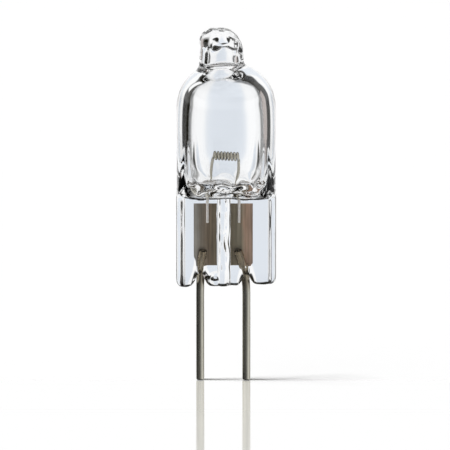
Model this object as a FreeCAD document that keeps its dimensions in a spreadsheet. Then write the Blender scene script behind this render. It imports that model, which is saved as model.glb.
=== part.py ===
"""Two-pin halogen capsule bulb: clear quartz envelope, coil, leads, sealing foils and contact pins.

Millimetres. The origin is midway between the pins on the seat, the plane under the lowest glass.
+Z runs up to the sealed tip and +X from the left pin to the right pin.
"""
import FreeCAD, Part
import os
import Sketcher

DIMENSIONS = {
    # Contact pins
    "pin_spacing": 4.0,
    "pin_radius": 0.35,
    "pin_reach": 8.2,
    "pin_straight": 7.7,
    "pin_top": 3.35,
    "left_pin_lean": 0.27,
    "right_pin_lean": 0.8,
    "pin_chamfer": 0.08,
    "pin_round": 0.2,
    # Sealing foils and the depth that wires bed into them
    "foil_spread": 3.1,
    "foil_width": 2.0,
    "foil_base": 1.93,
    "foil_height": 5.44,
    "foil_thickness": 0.05,
    "weld_depth": 0.03,
    # Inner leads
    "lead_spread": 2.74,
    "lead_radius": 0.125,
    "lead_base": 5.7,
    "lead_knee": 8.8,
    "lead_grip": 0.05,
    # Filament coil
    "coil_x": 0.24,
    "coil_z": 11.45,
    "coil_radius": 0.315,
    "coil_wire_radius": 0.1,
    "coil_pitch": 0.28,
    "coil_turns": 8,
    "coil_tilt": 3.5,
    # Bulb wall, measured from the glass axis
    "glass_shift": 0.25,
    "bulb_radius": 4.27,
    "shoulder_base": 16.35,
    "shoulder_radius": 3.0,
    "press_base": 8.1,
    "press_top": 11.5,
    "press_margin": 0.3,
    "press_bulge": 0.6,
    # Gas space
    "cavity_radius": 3.27,
    "cavity_floor": 9.3,
    "cavity_low": 11.2,
    "cavity_high": 15.4,
    "cavity_top": 18.3,
    "cavity_flat": 0.9,
    # Exhaust tip and its bore
    "tip_shift": 0.4,
    "tip_base": 18.6,
    "tip_base_radius": 1.97,
    "tip_dome_base": 21.7,
    "tip_dome_radius": 1.72,
    "tip_top": 22.8,
    "tip_flat": 0.6,
    "neck_radius": 0.75,
    "neck_depth": 0.3,
    "bore_radius": 1.14,
    "bore_base": 19.3,
    "bore_side_top": 20.6,
    "bore_top": 21.2,
    "bore_flat": 0.3,
    # Flat pinch
    "pinch_width": 8.68,
    "pinch_top": 8.4,
    "pinch_lap": 0.8,
    "web_thickness": 2.2,
    "rib_width": 0.62,
    "rib_thickness": 2.8,
    "rib_slope": 0.2,
    "rib_round": 0.4,
    "spine_width": 1.1,
    "spine_thickness": 2.6,
    "spine_slope": 0.25,
    "lobe_corner": 1.1,
    "lobe_notch": 0.7,
    "base_round": 0.6,
}

NODES = (
    "glass_envelope",
    "filament_coil",
    "inner_lead_left",
    "inner_lead_right",
    "foil_left",
    "foil_right",
    "pin_left",
    "pin_right",
)

Y_AXIS = FreeCAD.Vector(0, 1, 0)
# How far along a quarter arc its middle point lies, in each direction
ARC_FAR = "sqrt(0.5)"
ARC_NEAR = "(1 - sqrt(0.5))"

doc = FreeCAD.newDocument("halogen_capsule")
sheet = doc.addObject("Spreadsheet::Sheet", "dims")
for row, (alias, number) in enumerate(DIMENSIONS.items(), start=1):
    sheet.set(f"A{row}", alias)
    sheet.set(f"B{row}", str(number))
    sheet.setAlias(f"B{row}", alias)
doc.recompute()


def value(expression):
    """The number that an expression has with the sheet's present sizes."""
    return float(sheet.evalExpression(expression))


def vector(x, y):
    return FreeCAD.Vector(value(x), value(y), 0)


def new_body(name, **place):
    """A body moved along x, y or z by the expressions given."""
    body = doc.addObject("PartDesign::Body", name)
    for direction, expression in place.items():
        body.setExpression(f"Placement.Base.{direction}", expression)
    return body


def new_sketch(body, name, plane_role, height=None):
    """A sketch on one of the body's own origin planes, raised along its normal if height is given."""
    sketch = body.newObject("Sketcher::SketchObject", name)
    plane = next(item for item in body.Origin.OriginFeatures if item.Role == plane_role)
    sketch.AttachmentSupport = [(plane, "")]
    sketch.MapMode = "FlatFace"
    if height:
        sketch.setExpression("AttachmentOffset.Base.z", height)
    return sketch


def bind(sketch, constraint, expression):
    """Adds a constraint whose size follows an expression."""
    index = sketch.addConstraint(constraint)
    label = f"size_{index}"
    sketch.renameConstraint(index, label)
    sketch.setExpression(f"Constraints.{label}", expression)


def bind_point(sketch, edge, end, x, y):
    """Ties one point of the sketch to two expressions. Edge -1 is the sketch's X axis and -2 its Y axis."""
    for kind, expression, axis in (("DistanceX", x, -2), ("DistanceY", y, -1)):
        if expression == "0":
            sketch.addConstraint(Sketcher.Constraint("PointOnObject", edge, end, axis))
        else:
            distance = Sketcher.Constraint(kind, -1, 1, edge, end, value(expression))
            bind(sketch, distance, expression)


def end_at(sketch, edge, point):
    """Which end of an edge lies at a point: 1 for its start, 2 for its end."""
    start = sketch.getPoint(edge, 1)
    finish = sketch.getPoint(edge, 2)
    if start.distanceToPoint(point) <= finish.distanceToPoint(point):
        return 1
    return 2


def outline(body, name, plane_role, corners):
    """A closed outline. A corner is x, y, then the middle point of the edge after it if that is an arc."""
    sketch = new_sketch(body, name, plane_role)
    points = [vector(corner[0], corner[1]) for corner in corners]
    edges = []
    for index, corner in enumerate(corners):
        start = points[index]
        finish = points[(index + 1) % len(points)]
        if len(corner) == 2:
            edge = sketch.addGeometry(Part.LineSegment(start, finish), False)
        else:
            middle = vector(corner[2], corner[3])
            edge = sketch.addGeometry(Part.Arc(start, middle, finish), False)
        edges.append(edge)
    for index, corner in enumerate(corners):
        edge = edges[index]
        end = end_at(sketch, edge, points[index])
        before = edges[index - 1]
        end_before = end_at(sketch, before, points[index])
        sketch.addConstraint(Sketcher.Constraint("Coincident", before, end_before, edge, end))
        bind_point(sketch, edge, end, corner[0], corner[1])
        if len(corner) == 4:
            middle = sketch.addGeometry(Part.Point(vector(corner[2], corner[3])), True)
            sketch.addConstraint(Sketcher.Constraint("PointOnObject", middle, 1, edge))
            bind_point(sketch, middle, 1, corner[2], corner[3])
    return sketch


def revolved(name, corners, **place):
    """A body turned about its own Z axis from an outline of radius and height."""
    body = new_body(name, **place)
    feature = body.newObject("PartDesign::Revolution", f"{name}_turn")
    feature.Profile = outline(body, f"{name}_profile", "XZ_Plane", corners)
    feature.ReferenceAxis = (feature.Profile[0], ["V_Axis"])
    feature.Angle = 360
    return body


def padded(name, plane_role, corners, length, symmetric=True, **place):
    """A body made by padding one outline."""
    body = new_body(name, **place)
    feature = body.newObject("PartDesign::Pad", f"{name}_pad")
    feature.Profile = outline(body, f"{name}_outline", plane_role, corners)
    feature.SideType = "Symmetric" if symmetric else "One side"
    feature.setExpression("Length", length)
    return body


def round_wire(body, name, spine, x, z, radius):
    """Sweeps a round section, centred at x and z, along a spine in the body's XZ plane."""
    section = new_sketch(body, f"{name}_section", "XY_Plane", height=z)
    centre = vector(x, "0")
    circle = section.addGeometry(Part.Circle(centre, FreeCAD.Vector(0, 0, 1), value(radius)), False)
    bind_point(section, circle, 3, x, "0")
    bind(section, Sketcher.Constraint("Radius", circle, value(radius)), radius)
    pipe = body.newObject("PartDesign::AdditivePipe", f"{name}_pipe")
    pipe.Profile = section
    pipe.Spine = (spine, ["Edge1", "Edge2"])
    pipe.Transition = "Right corner"
    return pipe


def end_edge(shape, pick):
    """The name of the edge whose middle is lowest or highest, for min or max."""
    heights = [edge.CenterOfMass.z for edge in shape.Edges]
    return f"Edge{heights.index(pick(heights)) + 1}"


def cut(label, base, *tools):
    """The base less the tools."""
    tool = tools[0]
    if len(tools) > 1:
        tool = doc.addObject("Part::MultiFuse", f"{label}_tools")
        tool.Shapes = list(tools)
    result = doc.addObject("Part::Cut", label)
    result.Base = base
    result.Tool = tool
    return result


def common(name, *shapes):
    result = doc.addObject("Part::MultiCommon", name)
    result.Shapes = list(shapes)
    return result


# Heights and places that several pieces share
FOIL_Y = "(dims.pin_radius - dims.weld_depth)"
LEAD_Y = f"({FOIL_Y} - dims.lead_radius + dims.weld_depth)"
COIL_LENGTH = "(dims.coil_turns * dims.coil_pitch)"
COIL_RUN_X = f"({COIL_LENGTH} * cos(dims.coil_tilt))"
COIL_FALL_Z = f"({COIL_LENGTH} * sin(dims.coil_tilt))"
COIL_START_X = f"(dims.coil_x - {COIL_RUN_X} / 2)"
COIL_START_Z = f"(dims.coil_z + {COIL_FALL_Z} / 2)"
WIRE_START_X = f"({COIL_START_X} - dims.coil_radius * sin(dims.coil_tilt))"
WIRE_START_Z = f"({COIL_START_Z} - dims.coil_radius * cos(dims.coil_tilt))"


def make_foil(side, sign):
    foil = doc.addObject("Part::Box", f"foil_{side}")
    foil.setExpression("Length", "dims.foil_width")
    foil.setExpression("Width", "dims.foil_thickness")
    foil.setExpression("Height", "dims.foil_height")
    foil.setExpression("Placement.Base.x", f"{sign} * dims.foil_spread / 2 - dims.foil_width / 2")
    foil.setExpression("Placement.Base.y", FOIL_Y)
    foil.setExpression("Placement.Base.z", "dims.foil_base")
    return foil


def make_coil():
    """A round wire wound about the body's Z axis, which is then laid along X."""
    body = new_body("filament_coil", x=COIL_START_X, y=LEAD_Y, z=COIL_START_Z)
    body.Placement.Rotation = FreeCAD.Rotation(Y_AXIS, 90)
    body.setExpression("Placement.Rotation.Angle", "90 + dims.coil_tilt")
    section = new_sketch(body, "coil_section", "XZ_Plane")
    centre = vector("dims.coil_radius", "0")
    wire = Part.Circle(centre, FreeCAD.Vector(0, 0, 1), value("dims.coil_wire_radius"))
    circle = section.addGeometry(wire, False)
    bind_point(section, circle, 3, "dims.coil_radius", "0")
    radius = Sketcher.Constraint("Radius", circle, value("dims.coil_wire_radius"))
    bind(section, radius, "dims.coil_wire_radius")
    helix = body.newObject("PartDesign::AdditiveHelix", "coil_winding")
    helix.Profile = section
    helix.ReferenceAxis = (section, ["V_Axis"])
    helix.Mode = "pitch-turns-angle"
    helix.setExpression("Pitch", "dims.coil_pitch")
    helix.setExpression("Turns", "dims.coil_turns")
    return body


def make_lead(side, sign, top_x, top_z, foil, coil):
    """A wire that stands on the foil, leans to the coil's end and is hollowed where it holds the coil."""
    name = f"inner_lead_{side}"
    foot_x = f"{sign} * dims.lead_spread / 2"
    body = new_body(f"{name}_wire", y=LEAD_Y)
    spine = new_sketch(body, f"{name}_spine", "XZ_Plane")
    stops = (
        (foot_x, "dims.lead_base"),
        (foot_x, "dims.lead_knee"),
        (top_x, f"{top_z} + dims.lead_grip"),
    )
    points = [vector(*stop) for stop in stops]
    lower = spine.addGeometry(Part.LineSegment(points[0], points[1]), False)
    upper = spine.addGeometry(Part.LineSegment(points[1], points[2]), False)
    spine.addConstraint(Sketcher.Constraint("Coincident", lower, 2, upper, 1))
    bind_point(spine, lower, 1, *stops[0])
    bind_point(spine, lower, 2, *stops[1])
    bind_point(spine, upper, 2, *stops[2])
    round_wire(body, name, spine, foot_x, "dims.lead_base", "dims.lead_radius")
    return cut(name, body, foil, coil)


def make_pin(side, sign, lean, foil):
    """A straight pin whose upper end leans inwards inside the glass and is welded to the foil."""
    name = f"pin_{side}"
    pin_x = f"{sign} * dims.pin_spacing / 2"
    low = "-dims.pin_reach"
    bend = "(dims.pin_straight - dims.pin_reach)"
    top_x = f"{pin_x} - {sign} * {lean}"
    body = new_body(f"{name}_wire")
    spine = new_sketch(body, f"{name}_spine", "XZ_Plane")
    start = vector(pin_x, low)
    turn = vector(pin_x, bend)
    finish = vector(top_x, "dims.pin_top")
    rise = finish.y - turn.y
    shift = finish.x - turn.x
    radius = (rise ** 2 + shift ** 2) / (2 * abs(shift))
    half_shift = sign * ((radius ** 2 - rise ** 2 / 4) ** 0.5 - radius)
    middle = FreeCAD.Vector(turn.x + half_shift, turn.y + rise / 2, 0)
    straight = spine.addGeometry(Part.LineSegment(start, turn), False)
    arc = spine.addGeometry(Part.Arc(turn, middle, finish), False)
    near = end_at(spine, arc, turn)
    bind_point(spine, straight, 1, pin_x, low)
    bind_point(spine, straight, 2, pin_x, bend)
    spine.addConstraint(Sketcher.Constraint("Tangent", straight, 2, arc, near))
    far = end_at(spine, arc, finish)
    bind_point(spine, arc, far, top_x, "dims.pin_top")
    pipe = round_wire(body, name, spine, pin_x, low, "dims.pin_radius")
    doc.recompute()
    chamfer = body.newObject("PartDesign::Chamfer", f"{name}_chamfer")
    chamfer.Base = (pipe, [end_edge(pipe.Shape, min)])
    chamfer.setExpression("Size", "dims.pin_chamfer")
    doc.recompute()
    rounding = body.newObject("PartDesign::Fillet", f"{name}_round")
    rounding.Base = (chamfer, [end_edge(chamfer.Shape, max)])
    rounding.setExpression("Radius", "dims.pin_round")
    return cut(name, body, foil)


def make_bulb():
    """A round blank with a domed shoulder, pressed flat from front and back towards the pinch."""
    low = "(dims.pinch_top - dims.pinch_lap)"
    shoulder_top = "(dims.shoulder_base + dims.shoulder_radius)"
    shoulder_x = "(dims.bulb_radius - dims.shoulder_radius)"
    blank = revolved("bulb_blank", (
        ("0", low),
        ("dims.bulb_radius", low),
        ("dims.bulb_radius", "dims.shoulder_base",
         f"{shoulder_x} + dims.shoulder_radius * {ARC_FAR}",
         f"dims.shoulder_base + dims.shoulder_radius * {ARC_FAR}"),
        (shoulder_x, shoulder_top),
        ("0", shoulder_top),
    ), x="dims.glass_shift")
    half_web = "(dims.web_thickness / 2)"
    wide = "(dims.bulb_radius + dims.press_margin)"
    across = f"({wide} - {half_web})"
    rise = "(dims.press_top - dims.press_base)"
    chord = f"sqrt({across} * {across} + {rise} * {rise})"
    middle_y = f"(({half_web} + {wide}) / 2 + dims.press_bulge * {rise} / {chord})"
    middle_z = f"((dims.press_base + dims.press_top) / 2 - dims.press_bulge * {across} / {chord})"
    top = f"({shoulder_top} + dims.press_margin)"
    press = padded("bulb_press", "YZ_Plane", (
        (f"-{half_web}", low),
        (half_web, low),
        (half_web, "dims.press_base", middle_y, middle_z),
        (wide, "dims.press_top"),
        (wide, top),
        (f"-{wide}", top),
        (f"-{wide}", "dims.press_top", f"-{middle_y}", middle_z),
        (f"-{half_web}", "dims.press_base"),
    ), f"2 * {wide}", x="dims.glass_shift")
    return common("bulb_form", blank, press)


def make_tip():
    """The stub of the exhaust tube, melted shut in a dome."""
    dome_x = f"dims.tip_flat + (dims.tip_dome_radius - dims.tip_flat) * {ARC_FAR}"
    dome_z = f"dims.tip_dome_base + (dims.tip_top - dims.tip_dome_base) * {ARC_FAR}"
    return revolved("tip_form", (
        ("0", "dims.tip_base"),
        ("dims.tip_base_radius", "dims.tip_base"),
        ("dims.tip_dome_radius", "dims.tip_dome_base", dome_x, dome_z),
        ("dims.tip_flat", "dims.tip_top"),
        ("0", "dims.tip_top"),
    ), x="dims.glass_shift - dims.tip_shift")


def make_cavity():
    """The gas space: straight sides between a rounded floor and a rounded top."""
    bend_x = f"dims.cavity_flat + (dims.cavity_radius - dims.cavity_flat) * {ARC_FAR}"
    floor_z = f"dims.cavity_floor + (dims.cavity_low - dims.cavity_floor) * {ARC_NEAR}"
    top_z = f"dims.cavity_high + (dims.cavity_top - dims.cavity_high) * {ARC_FAR}"
    return revolved("cavity_form", (
        ("0", "dims.cavity_floor"),
        ("dims.cavity_flat", "dims.cavity_floor", bend_x, floor_z),
        ("dims.cavity_radius", "dims.cavity_low"),
        ("dims.cavity_radius", "dims.cavity_high", bend_x, top_z),
        ("dims.cavity_flat", "dims.cavity_top"),
        ("0", "dims.cavity_top"),
    ), x="dims.glass_shift")


def make_bore():
    """The narrow neck above the gas space and the wider exhaust bore inside the tip."""
    low = "(dims.cavity_top - dims.neck_depth)"
    dome_x = f"dims.bore_flat + (dims.bore_radius - dims.bore_flat) * {ARC_FAR}"
    dome_z = f"dims.bore_side_top + (dims.bore_top - dims.bore_side_top) * {ARC_FAR}"
    return revolved("bore_form", (
        ("0", low),
        ("dims.neck_radius", low),
        ("dims.neck_radius", "dims.bore_base"),
        ("dims.bore_radius", "dims.bore_base"),
        ("dims.bore_radius", "dims.bore_side_top", dome_x, dome_z),
        ("dims.bore_flat", "dims.bore_top"),
        ("0", "dims.bore_top"),
    ), x="dims.glass_shift - dims.tip_shift")


def mirrored_outline(half):
    """Closes half an outline, given from its lower to its upper end at positive x, about the Y axis."""
    return tuple(half) + tuple((f"-{x}", y) for x, y in reversed(half))


def make_pinch():
    """The flat seal: ribs along both edges, a low spine between the foils and a lobed lower edge."""
    half_width = "(dims.pinch_width / 2)"
    rib_in = f"({half_width} - dims.rib_width)"
    rib_foot = f"({rib_in} - dims.rib_slope)"
    spine_edge = "(dims.spine_width / 2)"
    spine_foot = f"({spine_edge} + dims.spine_slope)"
    half_rib = "(dims.rib_thickness / 2)"
    half_web = "(dims.web_thickness / 2)"
    half_spine = "(dims.spine_thickness / 2)"
    steps = (
        (spine_edge, half_spine),
        (spine_foot, half_web),
        (rib_foot, half_web),
        (rib_in, half_rib),
        (half_width, half_rib),
    )
    front_half = [(x, f"-{y}") for x, y in steps]
    section = padded(
        "pinch_section", "XY_Plane", mirrored_outline(front_half + list(reversed(steps))),
        "dims.pinch_top", symmetric=False, x="dims.glass_shift")
    doc.recompute()
    pad = section.Tip
    rounding = section.newObject("PartDesign::Fillet", "rib_edges")
    reach = value(half_width) - value("dims.rib_width") / 2
    rib_edges = []
    for index, edge in enumerate(pad.Shape.Edges, start=1):
        upright = edge.BoundBox.ZLength > value("dims.pinch_top") / 2
        on_rim = abs(edge.CenterOfMass.x - value("dims.glass_shift")) > reach
        if upright and on_rim:
            rib_edges.append(f"Edge{index}")
    rounding.Base = (pad, rib_edges)
    rounding.setExpression("Radius", "dims.rib_round")

    left_pin = "(-dims.pin_spacing / 2 - dims.glass_shift)"
    right_pin = "(dims.pin_spacing / 2 - dims.glass_shift)"
    front = padded("pinch_front", "XZ_Plane", (
        (f"-{half_width}", "dims.pinch_top"),
        (f"-{half_width}", "dims.lobe_corner", f"({left_pin} - {half_width}) / 2", "0"),
        (left_pin, "dims.lobe_notch", f"({left_pin} + {right_pin}) / 2", "0"),
        (right_pin, "dims.lobe_notch", f"({right_pin} + {half_width}) / 2", "0"),
        (half_width, "dims.lobe_corner"),
        (half_width, "dims.pinch_top"),
    ), "dims.rib_thickness", x="dims.glass_shift")
    flat = f"({half_rib} - dims.base_round)"
    round_y = f"({flat} + dims.base_round * {ARC_FAR})"
    round_z = f"dims.base_round * {ARC_NEAR}"
    side = padded("pinch_side", "YZ_Plane", (
        (f"-{flat}", "0"),
        (flat, "0", round_y, round_z),
        (half_rib, "dims.base_round"),
        (half_rib, "dims.pinch_top"),
        (f"-{half_rib}", "dims.pinch_top"),
        (f"-{half_rib}", "dims.base_round", f"-{round_y}", round_z),
    ), "dims.pinch_width", x="dims.glass_shift")
    return common("pinch_form", section, front, side)


def make_glass(metal):
    """One piece of glass, hollowed for the gas and fused round the metal that it seals in."""
    solid = doc.addObject("Part::MultiFuse", "glass_solid")
    solid.Shapes = [make_bulb(), make_tip(), make_pinch()]
    return cut("glass_envelope", solid, make_cavity(), make_bore(), *metal)


foil_left = make_foil("left", -1)
foil_right = make_foil("right", 1)
coil = make_coil()
lead_left = make_lead("left", -1, WIRE_START_X, WIRE_START_Z, foil_left, coil)
lead_right = make_lead(
    "right", 1, f"({WIRE_START_X} + {COIL_RUN_X})", f"({WIRE_START_Z} - {COIL_FALL_Z})", foil_right, coil)
pin_left = make_pin("left", -1, "dims.left_pin_lean", foil_left)
pin_right = make_pin("right", 1, "dims.right_pin_lean", foil_right)
make_glass((foil_left, foil_right, lead_left, lead_right, pin_left, pin_right))
doc.recompute()

for item in doc.Objects:
    if "Invalid" in item.State or "Error" in item.State:
        raise RuntimeError(f"{item.Name} failed: {item.State}")
pieces = [doc.getObject(name) for name in NODES]
for piece in pieces:
    if piece.Shape.isNull() or not piece.Shape.isValid() or len(piece.Shape.Solids) != 1:
        raise RuntimeError(f"{piece.Label} is not one valid solid")

os.makedirs("parts", exist_ok=True)
for piece in pieces:
    piece.Shape.exportStep(f"parts/{piece.Label}.step")
    print(piece.Label, round(piece.Shape.Volume, 4), "mm3")
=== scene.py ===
import math

import bpy
import numpy as np
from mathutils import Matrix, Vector


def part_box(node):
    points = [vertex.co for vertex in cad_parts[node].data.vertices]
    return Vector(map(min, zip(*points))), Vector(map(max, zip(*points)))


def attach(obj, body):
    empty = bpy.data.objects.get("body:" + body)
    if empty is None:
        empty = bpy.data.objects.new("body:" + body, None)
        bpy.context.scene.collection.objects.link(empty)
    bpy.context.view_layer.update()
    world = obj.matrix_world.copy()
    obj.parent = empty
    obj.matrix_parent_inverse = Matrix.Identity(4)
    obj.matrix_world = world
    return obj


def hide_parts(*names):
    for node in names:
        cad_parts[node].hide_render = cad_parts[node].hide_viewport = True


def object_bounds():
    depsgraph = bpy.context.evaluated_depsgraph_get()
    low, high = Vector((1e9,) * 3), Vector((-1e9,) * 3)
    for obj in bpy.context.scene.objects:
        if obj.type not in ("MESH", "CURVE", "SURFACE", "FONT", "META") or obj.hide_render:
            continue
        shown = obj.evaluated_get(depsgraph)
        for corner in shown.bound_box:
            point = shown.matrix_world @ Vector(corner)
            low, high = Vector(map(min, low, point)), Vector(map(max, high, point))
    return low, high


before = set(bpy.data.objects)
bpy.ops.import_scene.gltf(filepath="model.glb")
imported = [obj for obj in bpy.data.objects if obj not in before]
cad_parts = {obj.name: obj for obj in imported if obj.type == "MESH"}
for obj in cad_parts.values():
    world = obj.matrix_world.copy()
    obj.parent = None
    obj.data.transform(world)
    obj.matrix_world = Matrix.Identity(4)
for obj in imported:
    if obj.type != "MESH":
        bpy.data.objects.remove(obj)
cad_low, cad_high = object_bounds()

# Millimetres to metres. The glass is worked out in millimetres from its own axis.
MM = 0.001
glass_low, glass_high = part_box("glass_envelope")
GLASS_X = (glass_low.x + glass_high.x) / 2 / MM
FLOOR_Z = cad_low.z

# Bulb, and the heights between which it is pressed flat towards the pinch.
# The press is gentler beyond PRESS_CORNER from the axis.
BULB_RADIUS = 4.27
BULB_LOW = 7.9
SHOULDER_TOP = 19.6
SHOULDER_RADIUS = 3.8
PRESS_LOW = 7.85
PRESS_HIGH = 10.6
PRESS_BLEND = 0.5
PRESS_MARGIN = 0.5
PRESS_CORNER = 2.4
PRESS_CORNER_SLOPE = 0.28

# Pinch, with ribs along its edges, a spine between the foils and a notch round each pin:
# place, depth and width
PINCH_HALF = 4.33
PINCH_TOP = 8.4
WEB_HALF = 1.1
RIB_RISE = 0.27
RIB_INNER = 3.77
RIB_LEFT_SLOPE = 0.32
RIB_RIGHT_SLOPE = 0.2
RIB_FADE = 1.0
SPINE_LEFT = -0.56
SPINE_RIGHT = 0.1
SPINE_RISE = 0.26
SPINE_LEFT_SLOPE = 0.3
SPINE_RIGHT_SLOPE = 0.6
EDGE_BLEND = 0.3
BASE_BLEND = 1.1
NOTCHES = ((-2.0, 1.25, 0.45), (2.0, 0.95, 0.45))
BASE_RISE = 0.03

# Exhaust tip, which leans and narrows towards its top
TIP_X = -0.4
TIP_RADIUS = 1.97
TIP_TAPER = 0.07
TIP_LOW = 17.4
TIP_TOP = 22.68
TIP_CORNER = 1.1
TIP_DOME = 0.1
TIP_LEAN = 0.22
TIP_LEAN_LOW = 21.0
TIP_BLEND = 0.4

# Gas space, which is round above ROUND_ABOVE and flattened below it, and exhaust bore
CAVITY_RADIUS = 3.27
CAVITY_BARREL = 0.016
CAVITY_MIDDLE = 13.4
CAVITY_LOW = 9.6
CAVITY_TOP = 18.35
CAVITY_CORNER = 2.1
CAVITY_SAG = 0.1
CAVITY_BOWL = 0.085
BOWL_TOP = 11.6
ROUND_ABOVE = 12.5
BORE_RADIUS = 1.14
BORE_LOW = 19.3
BORE_TOP = 21.2
BORE_CORNER = 0.35
NECK_RADIUS = 0.9

# Lumps left where the glass was melted and pressed: place, radius and height
TIP_LUMPS = (
    (-1.5, -0.9, 22.0, 0.4, 0.2),
    (-0.95, -1.3, 22.1, 0.32, -0.2),
    (-0.35, -1.2, 22.4, 0.36, 0.2),
    (0.4, -1.0, 22.2, 0.4, -0.24),
    (0.65, -1.45, 21.5, 0.42, 0.24),
    (0.95, -1.1, 20.8, 0.36, -0.16),
    (-1.45, -1.4, 21.2, 0.34, -0.2),
    (-0.95, -1.75, 21.3, 0.34, 0.2),
    (-0.2, -1.75, 21.6, 0.36, -0.18),
    (-1.0, 0.8, 22.2, 0.5, -0.16),
    (0.2, 1.0, 22.2, 0.5, 0.18),
    (-0.4, 0.0, 22.7, 0.45, -0.12),
)
PINCH_LUMPS = (
    (-0.95, -1.2, 0.8, 0.36, 0.26),
    (-0.95, 1.2, 0.8, 0.36, 0.24),
    (1.05, -1.1, 0.6, 0.35, 0.1),
    (2.6, -1.1, 0.5, 0.4, 0.08),
    (-0.35, -1.3, 6.6, 0.3, 0.14),
    (-0.3, -1.3, 4.6, 0.3, 0.1),
    (-0.2, -1.3, 1.9, 0.35, -0.12),
    (-0.6, 1.1, 0.9, 0.4, 0.1),
)

# Cells of the grid on which the surface of the glass is found
GRID_STEP = 0.115


def smooth_max(a, b, blend):
    """The larger of two fields, rounded over the blend distance where they cross."""
    mix = np.maximum(blend - np.abs(a - b), 0.0) / blend
    return np.maximum(a, b) + mix * mix * blend / 4


def smooth_min(a, b, blend):
    """The smaller of two fields, rounded the same way."""
    return -smooth_max(-a, -b, blend)


def smooth_step(value):
    """Rises smoothly from 0 to 1 as the value does."""
    t = np.clip(value, 0.0, 1.0)
    return t * t * (3.0 - 2.0 * t)


def column(radius, z, half, low, high, corner):
    """Distance to an upright round column with rounded ends."""
    side = radius - (half - corner)
    end = np.abs(z - (low + high) / 2) - ((high - low) / 2 - corner)
    outside = np.hypot(np.maximum(side, 0.0), np.maximum(end, 0.0))
    return outside + np.minimum(np.maximum(side, end), 0.0) - corner


def wander(x, y, z, pitch):
    """A smooth uneven wave between about -1 and 1, repeating only over several pitches."""
    k = 2 * math.pi / pitch
    wave = np.sin(k * (0.9 * x + 0.35 * y - 0.2 * z) + 0.4)
    wave = wave + np.sin(k * (-0.55 * x + 0.6 * y + 0.75 * z) + 2.1)
    wave = wave + np.sin(k * (0.3 * x - 0.8 * y + 1.1 * z) + 4.0)
    wave = wave + np.sin(k * (1.35 * x + 0.5 * y + 0.45 * z) + 5.2)
    return wave / 2.4


def press_depth(z):
    """Half the gap between the press's faces at a height, from the pinch's web to clear of the bulb."""
    t = np.clip((z - PRESS_LOW) / (PRESS_HIGH - PRESS_LOW), 0.0, 1.0)
    return WEB_HALF + (BULB_RADIUS + PRESS_MARGIN - WEB_HALF) * np.sin(t * math.pi / 2)


def pressed_half(x, z):
    """Half the thickness that the press leaves at a place, which falls off more gently at the corners."""
    middle = press_depth(z)
    corner = WEB_HALF + 0.26 + PRESS_CORNER_SLOPE * (z - 8.0)
    share = smooth_step((np.abs(x) - PRESS_CORNER) / 1.2)
    return middle + share * np.minimum(smooth_min(middle, corner, 0.4) - middle, 0.0)


def oval(x, y, half_x, half_y):
    """Roughly the distance to an upright oval column."""
    return (np.hypot(x / half_x, y / half_y) - 1.0) * np.minimum(half_x, half_y)


def lump_field(lumps, x, y, z):
    """How far a set of lumps raises the surface at each place."""
    raised = np.zeros_like(x)
    for lump_x, lump_y, lump_z, size, height in lumps:
        away = ((x - lump_x) ** 2 + (y - lump_y) ** 2 + (z - lump_z) ** 2) / size ** 2
        raised = raised + height * np.exp(-away)
    return raised


def bulb_field(x, y, z):
    """A round blank with a domed shoulder, pressed flat from front and back towards the pinch."""
    blank = column(np.hypot(x, y), z, BULB_RADIUS, BULB_LOW - SHOULDER_RADIUS, SHOULDER_TOP, SHOULDER_RADIUS)
    depth = pressed_half(x, z)
    steepness = np.hypot(1.0, (pressed_half(x, z + 0.02) - depth) / 0.02)
    uneven = 0.07 * wander(x, y, z, 2.6) * smooth_step((10.4 - z) / 1.2)
    press = (np.abs(y) - depth + 0.25 * smooth_step((8.4 - z) / 0.5)) / steepness + uneven
    return np.maximum(smooth_max(blank, press, PRESS_BLEND), BULB_LOW - z)


def pinch_field(x, y, z):
    """The flat seal with its ribs, spine, lumps and notched lower edge."""
    slope = (np.abs(x) - RIB_INNER) / np.where(x < 0, RIB_LEFT_SLOPE, RIB_RIGHT_SLOPE) + 0.5
    rise = RIB_RISE + 0.03 * wander(0.0 * x, 0.0, z, 3.1)
    rib = rise * smooth_min(smooth_max(slope, 0.0, 0.3), 1.0, 0.3)
    rib = rib * smooth_step((PINCH_TOP + 0.2 - z) / RIB_FADE)
    drift = 0.05 * wander(0.0 * x, 0.0, z, 2.1)
    spine = smooth_step((x - SPINE_LEFT) / SPINE_LEFT_SLOPE + 0.5) * SPINE_RISE
    spine = spine * smooth_step((SPINE_RIGHT + drift - x) / SPINE_RIGHT_SLOPE + 0.5)
    spine = spine * (1.0 + 0.2 * wander(x, 0.0, z, 2.3))
    thick = np.abs(y) - WEB_HALF - rib - spine - lump_field(PINCH_LUMPS, x, y, z)
    wide = np.abs(x) - PINCH_HALF
    base = BASE_RISE * (x + PINCH_HALF) + 0.04 * wander(x, 0.3 * y, 0.0, 1.5)
    tilt = 0.0
    for pin_x, depth, width in NOTCHES:
        away = (x + GLASS_X - pin_x) / width
        base = base + depth * np.exp(-away ** 2)
        tilt = tilt - 2.0 * away * depth / width * np.exp(-away ** 2)
    below = (base - z) / np.hypot(1.0, tilt)
    form = smooth_max(thick, wide, EDGE_BLEND)
    form = smooth_max(form, below, BASE_BLEND)
    return smooth_max(form, z - PINCH_TOP, 0.4)


def tip_field(x, y, z):
    """The lumpy exhaust tip."""
    above = np.maximum(z - TIP_LEAN_LOW, 0.0)
    radius = np.hypot(x - TIP_X + TIP_LEAN * above, y) + TIP_TAPER * (z - 19.0) + TIP_DOME * above ** 2
    tip = column(radius, z, TIP_RADIUS, TIP_LOW, TIP_TOP, TIP_CORNER)
    return tip - lump_field(TIP_LUMPS, x, y, z)


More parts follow.
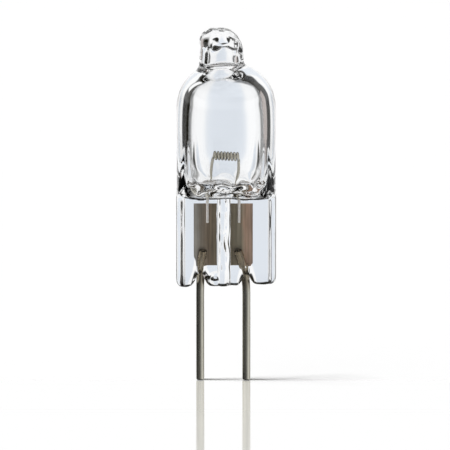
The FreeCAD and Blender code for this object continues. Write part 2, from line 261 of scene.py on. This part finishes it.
def gas_field(x, y, z):
    """The gas space, its uneven floor, the neck above it and the bore in the tip."""
    barrel = CAVITY_BARREL * (z - CAVITY_MIDDLE) ** 2
    upper = column(np.hypot(x, y) + barrel, z, CAVITY_RADIUS, BULB_LOW, CAVITY_TOP, CAVITY_CORNER)
    bowl = CAVITY_BOWL * np.maximum(BOWL_TOP - z, 0.0) ** 2
    half_x = CAVITY_RADIUS - barrel * smooth_step((z - 8.5) / 3.0) - bowl
    wall = BULB_RADIUS - CAVITY_RADIUS
    half_y = np.maximum(np.minimum(press_depth(z), BULB_RADIUS) - wall, 0.15)
    half_y = half_y - barrel * smooth_step((z - 10.0) / 1.5)
    lower = oval(x, y, half_x, half_y)
    floor = CAVITY_LOW - CAVITY_SAG * x * x + 0.1 * wander(x, 0.6 * y, 0.0, 2.2) - z
    lower = smooth_max(lower, floor, 0.6)
    lower = lower + 0.05 * wander(x, y, z, 1.9) * smooth_step((11.0 - z) / 1.5)
    space = np.where(z > ROUND_ABOVE, upper, lower)
    tip_radius = np.hypot(x - TIP_X, y)
    bore = column(tip_radius, z, BORE_RADIUS, BORE_LOW, BORE_TOP, BORE_CORNER)
    bore = bore + 0.06 * wander(x, y, z, 1.6) * smooth_step(z - 20.4)
    neck = column(tip_radius, z, NECK_RADIUS, CAVITY_TOP - 1.2, BORE_LOW + 0.6, 0.3)
    return smooth_min(space, smooth_min(bore, neck, 0.5), 0.8)


def glass_field(x, y, z):
    """The whole envelope: below zero in the glass, above zero outside it and in its hollows."""
    outer = smooth_min(bulb_field(x, y, z), pinch_field(x, y, z), 0.3)
    outer = smooth_max(outer, np.abs(x) - PINCH_HALF, 0.1)
    outer = smooth_min(outer, tip_field(x, y, z), TIP_BLEND)
    return np.maximum(outer, -gas_field(x, y, z))


def field_normals(field, points, reach=0.01):
    """Unit gradient of the field at each point, and its steepness."""
    slopes = []
    for axis in range(3):
        step = np.zeros(3)
        step[axis] = reach
        ahead = field(*(points + step).T)
        behind = field(*(points - step).T)
        slopes.append((ahead - behind) / (2 * reach))
    gradient = np.stack(slopes, axis=1)
    steepness = np.linalg.norm(gradient, axis=1)
    return gradient / np.maximum(steepness, 1e-6)[:, None], steepness


def project(field, points, rounds=5):
    """Moves points onto the surface where the field is zero."""
    for _ in range(rounds):
        normals, steepness = field_normals(field, points)
        travel = field(*points.T) / np.maximum(steepness, 0.3)
        points = points - np.clip(travel, -0.1, 0.1)[:, None] * normals
    return points


def surface_net(field, low, high, step):
    """Quads over the zero surface of a field: one point for each grid cell that the surface crosses."""
    axes = [np.arange(a, b + step, step) for a, b in zip(low, high)]
    inside = field(*np.meshgrid(*axes, indexing="ij")) < 0.0
    counts = [n - 1 for n in inside.shape]
    corners = sum(
        inside[i:i + counts[0], j:j + counts[1], k:k + counts[2]].astype(np.int8)
        for i in (0, 1) for j in (0, 1) for k in (0, 1))
    crossed = (corners > 0) & (corners < 8)
    cell = np.full(counts, -1, dtype=np.int64)
    cell[crossed] = np.arange(crossed.sum())
    points = np.array(low) + (np.argwhere(crossed) + 0.5) * step
    quads = []
    for axis in range(3):
        first = (axis + 1) % 3
        second = (axis + 2) % 3
        here = np.moveaxis(inside, (axis, first, second), (0, 1, 2))
        cells = np.moveaxis(cell, (axis, first, second), (0, 1, 2))
        changed = np.argwhere(here[:-1, 1:-1, 1:-1] != here[1:, 1:-1, 1:-1]) + (0, 1, 1)
        i, j, k = changed.T
        quad = np.stack(
            [cells[i, j - 1, k - 1], cells[i, j, k - 1], cells[i, j, k], cells[i, j - 1, k]], axis=1)
        facing_back = ~here[i, j, k]
        quad[facing_back] = quad[facing_back][:, ::-1]
        quads.append(quad)
    return points, np.concatenate(quads)


def relax(points, quads):
    """Moves each point halfway to the mean of its neighbours."""
    total = np.zeros_like(points)
    count = np.zeros(len(points))
    for corner in range(4):
        for other in (corner - 1, (corner + 1) % 4):
            np.add.at(total, quads[:, corner], points[quads[:, other]])
            np.add.at(count, quads[:, corner], 1)
    return (points + total / np.maximum(count, 1)[:, None]) / 2


def make_glass():
    """The envelope as one mesh, with the field's own normals."""
    low = (-4.6, -4.5, -0.3)
    high = (4.6, 4.5, 23.1)
    points, quads = surface_net(glass_field, low, high, GRID_STEP)
    points = project(glass_field, points)
    for _ in range(3):
        points = project(glass_field, relax(points, quads), rounds=3)
    normals, _ = field_normals(glass_field, points)
    mesh = bpy.data.meshes.new("quartz_envelope")
    mesh.from_pydata(((points + (GLASS_X, 0, 0)) * MM).tolist(), [], quads.tolist())
    mesh.shade_smooth()
    mesh.normals_split_custom_set_from_vertices(normals.tolist())
    envelope = bpy.data.objects.new("quartz_envelope", mesh)
    bpy.context.scene.collection.objects.link(envelope)
    return envelope


class Graph:
    """A short way to add and join the nodes of a material or world."""

    def __init__(self, tree):
        self.tree = tree
        tree.nodes.clear()

    def add(self, kind, inputs=None, **settings):
        node = self.tree.nodes.new(kind)
        for name, value in settings.items():
            setattr(node, name, value)
        for name, value in (inputs or {}).items():
            if isinstance(value, bpy.types.NodeSocket):
                self.tree.links.new(value, node.inputs[name])
            else:
                node.inputs[name].default_value = value
        return node

    def math(self, operation, first, second=None):
        inputs = {0: first}
        if second is not None:
            inputs[1] = second
        return self.add("ShaderNodeMath", inputs, operation=operation).outputs[0]

    def ramp(self, factor, stops):
        node = self.add("ShaderNodeValToRGB", {"Fac": factor})
        ramp = node.color_ramp
        while len(ramp.elements) < len(stops):
            ramp.elements.new(0.5)
        for element, (position, color) in zip(ramp.elements, stops):
            element.position = position
            element.color = (*color, 1.0)
        return node.outputs["Color"]

    def mix(self, factor, first, second, blend="MIX"):
        node = self.add("ShaderNodeMix", data_type="RGBA", blend_type=blend)
        for name, value in (("Factor_Float", factor), ("A_Color", first), ("B_Color", second)):
            socket = next(item for item in node.inputs if item.identifier == name)
            if isinstance(value, bpy.types.NodeSocket):
                self.tree.links.new(value, socket)
            else:
                socket.default_value = value
        return next(item for item in node.outputs if item.identifier == "Result_Color")


def new_material(name):
    material = bpy.data.materials.new(name)
    material.use_nodes = True
    return material, Graph(material.node_tree)


def object_coordinates(graph, scale):
    """The place on the object, in metres, stretched by three factors."""
    place = graph.add("ShaderNodeTexCoord").outputs["Object"]
    return graph.add("ShaderNodeMapping", {"Vector": place, "Scale": scale}).outputs["Vector"]


def noise(graph, scale, detail=3.0, roughness=0.55):
    return graph.add(
        "ShaderNodeTexNoise",
        {"Vector": object_coordinates(graph, scale), "Scale": 1.0, "Detail": detail, "Roughness": roughness},
    ).outputs["Fac"]


def finish_material(graph, shader):
    graph.add("ShaderNodeOutputMaterial", {"Surface": shader})


def quartz_material():
    """Clear fused quartz with faint drawn lines."""
    material, graph = new_material("quartz")
    waves = noise(graph, (900, 900, 130), detail=2.0)
    bump = graph.add("ShaderNodeBump", {"Height": waves, "Strength": 0.02, "Distance": 0.0001})
    shader = graph.add("ShaderNodeBsdfPrincipled", {
        "Base Color": (0.985, 0.99, 0.995, 1.0),
        "Roughness": 0.0,
        "IOR": 1.458,
        "Transmission Weight": 1.0,
        "Normal": bump.outputs["Normal"],
    })
    finish_material(graph, shader.outputs["BSDF"])
    return material


def pin_material():
    """Drawn wire, darker and browner higher up, where it runs inside the glass."""
    material, graph = new_material("pin_metal")
    place = graph.add("ShaderNodeTexCoord").outputs["Object"]
    height = graph.add("ShaderNodeSeparateXYZ", {"Vector": place}).outputs["Z"]
    streaks = noise(graph, (3500, 3500, 120), detail=5.0)
    blotches = noise(graph, (700, 700, 500), detail=3.0)
    level = graph.math("ADD", graph.math("MULTIPLY", height, 80.0), graph.math("MULTIPLY", blotches, 0.06))
    color = graph.ramp(graph.math("ADD", level, 0.67), (
        (0.1, (0.6, 0.58, 0.5)), (0.68, (0.6, 0.58, 0.5)), (0.74, (0.42, 0.38, 0.3)),
        (0.86, (0.34, 0.29, 0.21)), (0.96, (0.28, 0.23, 0.16))))
    shade = graph.ramp(streaks, ((0.3, (0.75, 0.75, 0.75)), (0.7, (1.15, 1.15, 1.15))))
    color = graph.mix(1.0, color, shade, "MULTIPLY")
    gloss = graph.math("ADD", graph.math("MULTIPLY", blotches, 0.2), 0.15)
    bump = graph.add("ShaderNodeBump", {"Height": streaks, "Strength": 0.3, "Distance": 0.00002})
    shader = graph.add("ShaderNodeBsdfPrincipled", {
        "Base Color": color,
        "Metallic": 1.0,
        "Roughness": gloss,
        "Normal": bump.outputs["Normal"],
    })
    finish_material(graph, shader.outputs["BSDF"])
    return material


def foil_material():
    """Thin rolled foil, browned unevenly across its width by the sealing flame."""
    material, graph = new_material("foil")
    place = graph.add("ShaderNodeTexCoord").outputs["Object"]
    across = graph.add("ShaderNodeSeparateXYZ", {"Vector": place}).outputs["X"]
    blotches = noise(graph, (900, 900, 450), detail=4.0)
    streaks = noise(graph, (5000, 400, 200), detail=4.0)
    shift = graph.math("MULTIPLY", graph.math("SUBTRACT", blotches, 0.5), 0.12)
    across = graph.math("ADD", graph.math("MULTIPLY", across, 1.0 / 0.0056), 0.5)
    color = graph.ramp(graph.math("ADD", across, shift), (
        (0.06, (0.56, 0.53, 0.48)), (0.16, (0.38, 0.33, 0.27)), (0.27, (0.32, 0.25, 0.18)),
        (0.4, (0.28, 0.24, 0.17)), (0.61, (0.25, 0.21, 0.15)), (0.76, (0.4, 0.36, 0.27)),
        (0.84, (0.66, 0.46, 0.34)), (0.95, (0.55, 0.4, 0.31))))
    shade = graph.ramp(streaks, ((0.3, (0.6, 0.6, 0.6)), (0.7, (1.05, 1.05, 1.05))))
    color = graph.mix(1.0, color, shade, "MULTIPLY")
    gloss = graph.math("ADD", graph.math("MULTIPLY", blotches, 0.25), 0.35)
    bump = graph.add("ShaderNodeBump", {"Height": streaks, "Strength": 0.3, "Distance": 0.00002})
    shader = graph.add("ShaderNodeBsdfPrincipled", {
        "Base Color": color,
        "Metallic": 1.0,
        "Roughness": gloss,
        "Normal": bump.outputs["Normal"],
    })
    finish_material(graph, shader.outputs["BSDF"])
    return material


def tungsten_material():
    """Tungsten wire, with a painted highlight low down where it lies on the foils, darker higher up near the
    coil, and painted shade along its edges with a painted highlight down its middle.
    """
    material, graph = new_material("tungsten")
    place = graph.add("ShaderNodeTexCoord").outputs["Object"]
    height = graph.add("ShaderNodeSeparateXYZ", {"Vector": place}).outputs["Z"]
    grain = noise(graph, (6000, 6000, 6000), detail=4.0)
    # A painted highlight low down, where the leads lie on the foils; darker higher up towards the coil.
    highlight_height = graph.math("ADD", graph.math("MULTIPLY", height, 100.0), graph.math("MULTIPLY", grain, 0.1))
    color = graph.ramp(highlight_height, (
        (0.8, (0.95, 0.9, 0.84)), (0.95, (0.66, 0.64, 0.58)), (1.0, (0.6, 0.57, 0.48))))
    shade = graph.ramp(grain, ((0.3, (0.8, 0.8, 0.8)), (0.7, (1.1, 1.1, 1.1))))
    color = graph.mix(1.0, color, shade, "MULTIPLY")
    # Painted shade along the wire's edges and a painted highlight down its middle, set by how squarely each
    # point faces the view.
    facing = graph.add("ShaderNodeLayerWeight", {"Blend": 0.5}).outputs["Facing"]
    painted_edge_shade = graph.ramp(facing, ((0.3, (1.3, 1.3, 1.3)), (0.75, (0.12, 0.12, 0.12))))
    color = graph.mix(1.0, color, painted_edge_shade, "MULTIPLY")
    gloss = graph.math("ADD", graph.math("MULTIPLY", grain, 0.2), 0.35)
    bump = graph.add("ShaderNodeBump", {"Height": grain, "Strength": 0.2, "Distance": 0.00002})
    shader = graph.add("ShaderNodeBsdfPrincipled", {
        "Base Color": color,
        "Metallic": 0.5,
        "Roughness": gloss,
        "Normal": bump.outputs["Normal"],
    })
    finish_material(graph, shader.outputs["BSDF"])
    return material


def dress(material, *nodes):
    """Gives CAD pieces a material in place of their own."""
    for node in nodes:
        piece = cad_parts[node]
        for slot in piece.material_slots:
            slot.material = material


def make_floor():
    """A white table that mirrors the pins in front of them and is matt behind."""
    bpy.ops.mesh.primitive_plane_add(size=8.0, location=(0, 0, FLOOR_Z))
    floor = bpy.context.object
    floor.name = "floor"
    floor.visible_transmission = False
    floor.visible_glossy = False
    material, graph = new_material("floor_white")
    place = graph.add("ShaderNodeTexCoord").outputs["Object"]
    depth = graph.add("ShaderNodeSeparateXYZ", {"Vector": place}).outputs["Y"]
    nearness = graph.math("ADD", graph.math("MULTIPLY", depth, 5.0), 0.5)
    mirror = graph.ramp(nearness, (
        (0.2, (0.5, 0.5, 0.5)), (0.4966, (0.8, 0.8, 0.8)), (0.498, (0.08, 0.08, 0.08)),
        (0.53, (0.08, 0.08, 0.08)), (0.6, (0.0, 0.0, 0.0))))
    matt = graph.add("ShaderNodeBsdfDiffuse", {"Color": (0.95, 0.95, 0.95, 1.0)})
    gloss = graph.add("ShaderNodeBsdfGlossy", {"Color": (1.0, 1.0, 1.0, 1.0), "Roughness": 0.05})
    both = graph.add("ShaderNodeMixShader", {0: mirror, 1: matt.outputs[0], 2: gloss.outputs[0]})
    finish_material(graph, both.outputs[0])
    floor.data.materials.append(material)


def degree_stops(table, whole):
    """Ramp stops from angles: a whole turn or half turn runs from one end of the ramp to the other."""
    return [(degrees / whole + 0.5, (level, level, level) if isinstance(level, float) else level)
            for degrees, level in table]


def make_world():
    """White to the camera. Glass sees a white backdrop between dark flags, metal a darker room."""
    world = bpy.data.worlds.new("studio")
    bpy.context.scene.world = world
    world.use_nodes = True
    graph = Graph(world.node_tree)
    direction = graph.add("ShaderNodeTexCoord").outputs["Generated"]
    parts = graph.add("ShaderNodeSeparateXYZ", {"Vector": direction}).outputs
    azimuth = graph.math("ARCTAN2", parts["X"], parts["Y"])
    turn = graph.math("ADD", graph.math("DIVIDE", azimuth, 2 * math.pi), 0.5)
    rise = graph.math("ADD", graph.math("DIVIDE", graph.math("ARCSINE", parts["Z"]), math.pi), 0.5)
    pale = (0.78, 0.825, 0.885)
    black = (0.010, 0.009, 0.005)
    dusk = (0.48, 0.43, 0.41)

    around = graph.ramp(turn, degree_stops((
        (-180, 0.5), (-150, 0.15), (-125, 0.15), (-110, 1.0), (-66, 1.0), (-62, black), (-27, black),
        (-22, 1.0), (-7.5, 1.0), (-5, pale), (5, pale), (7.5, 1.0), (21, 1.0), (25, black), (42, black),
        (46, dusk), (62, dusk), (66, 1.0), (130, 1.0), (155, 0.75), (180, 0.5)), 360))
    ceiling = graph.ramp(rise, degree_stops(((19, 0.0), (23, 1.0), (60, 1.0), (66, 0.0)), 180))
    below = graph.ramp(rise, degree_stops(((-27, 1.0), (-18, 0.0)), 180))
    right = graph.ramp(turn, degree_stops(((6, 0.0), (12, 1.0), (100, 1.0), (110, 0.0)), 360))
    right_ceiling = graph.ramp(rise, degree_stops(((16, 0.0), (20, 1.0), (60, 1.0), (66, 0.0)), 180))
    left = graph.ramp(turn, degree_stops(((-39, 0.0), (-37, 1.0), (-28, 1.0), (-26, 0.0)), 360))
    window = graph.ramp(rise, degree_stops(((8, 0.0), (11, 1.0), (36, 1.0), (40, 0.0)), 180))
    dark = graph.math("MAXIMUM", ceiling, graph.math("MULTIPLY", right, right_ceiling))
    behind_glass = graph.mix(dark, around, (*black, 1.0))
    behind_glass = graph.mix(graph.math("MULTIPLY", left, window), behind_glass, (1.0, 1.0, 1.0, 1.0))
    behind_glass = graph.mix(below, behind_glass, (1.0, 1.0, 1.0, 1.0))

    room = graph.ramp(turn, degree_stops((
        (-180, 0.14), (-150, 0.08), (-95, 0.04), (-50, 0.04), (-30, 1.0), (25, 1.0), (42, 0.3),
        (64, 0.3), (80, 1.0), (126, 0.85), (157, 0.4), (180, 0.14)), 360))
    underside = graph.ramp(rise, degree_stops(((-50, 0.08), (-25, 1.0)), 180))
    room = graph.mix(1.0, room, underside, "MULTIPLY")
    above = graph.ramp(rise, degree_stops(((2, 0.0), (8, 1.0), (38, 1.0), (46, 0.0)), 180))
    room = graph.mix(above, room, (1.0, 1.0, 1.0, 1.0))

    path = graph.add("ShaderNodeLightPath").outputs
    color = graph.mix(path["Is Glossy Ray"], (0.12, 0.12, 0.12, 1.0), room)
    color = graph.mix(path["Is Transmission Ray"], color, behind_glass)
    color = graph.mix(path["Is Camera Ray"], color, (1.0, 1.0, 1.0, 1.0))
    background = graph.add("ShaderNodeBackground", {"Color": color, "Strength": 1.0})
    graph.add("ShaderNodeOutputWorld", {"Surface": background.outputs["Background"]})


def make_lamp(name, energy, angle, aim):
    """A lamp that lights the floor and lays the shadows of the metal to the right."""
    light = bpy.data.lights.new(name, "SUN")
    light.energy = energy
    light.angle = math.radians(angle)
    lamp = bpy.data.objects.new(name, light)
    lamp.rotation_euler = Vector(aim).to_track_quat("-Z", "Y").to_euler()
    lamp.visible_glossy = False
    lamp.visible_transmission = False
    bpy.context.scene.collection.objects.link(lamp)


def make_camera():
    """Level with the bulb, looking slightly down, with the photograph's framing."""
    target = Vector((0.15, 0.0, 5.45)) * MM
    distance = 0.5
    elevation = math.radians(11.0)
    view_width = 450 / 11.58 * MM
    data = bpy.data.cameras.new("camera")
    data.lens = data.sensor_width * distance / view_width
    data.clip_start = 0.01
    camera = bpy.data.objects.new("camera", data)
    back = Vector((0.0, -math.cos(elevation), math.sin(elevation)))
    camera.location = target + back * distance
    camera.rotation_euler = (-back).to_track_quat("-Z", "Y").to_euler()
    bpy.context.scene.collection.objects.link(camera)
    bpy.context.scene.camera = camera


envelope = make_glass()
envelope.data.materials.append(quartz_material())
envelope.visible_shadow = False
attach(envelope, "root")
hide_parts("glass_envelope")

dress(foil_material(), "foil_left", "foil_right")
dress(pin_material(), "pin_left", "pin_right")
dress(tungsten_material(), "filament_coil", "inner_lead_left", "inner_lead_right")

make_floor()
make_world()
make_lamp("key", 3.1, 13.0, (0.5, -0.02, -1.0))
make_lamp("fill", 0.2, 60.0, (0.6, 0.0, -1.0))
make_camera()
bpy.context.scene.view_settings.view_transform = "Standard"
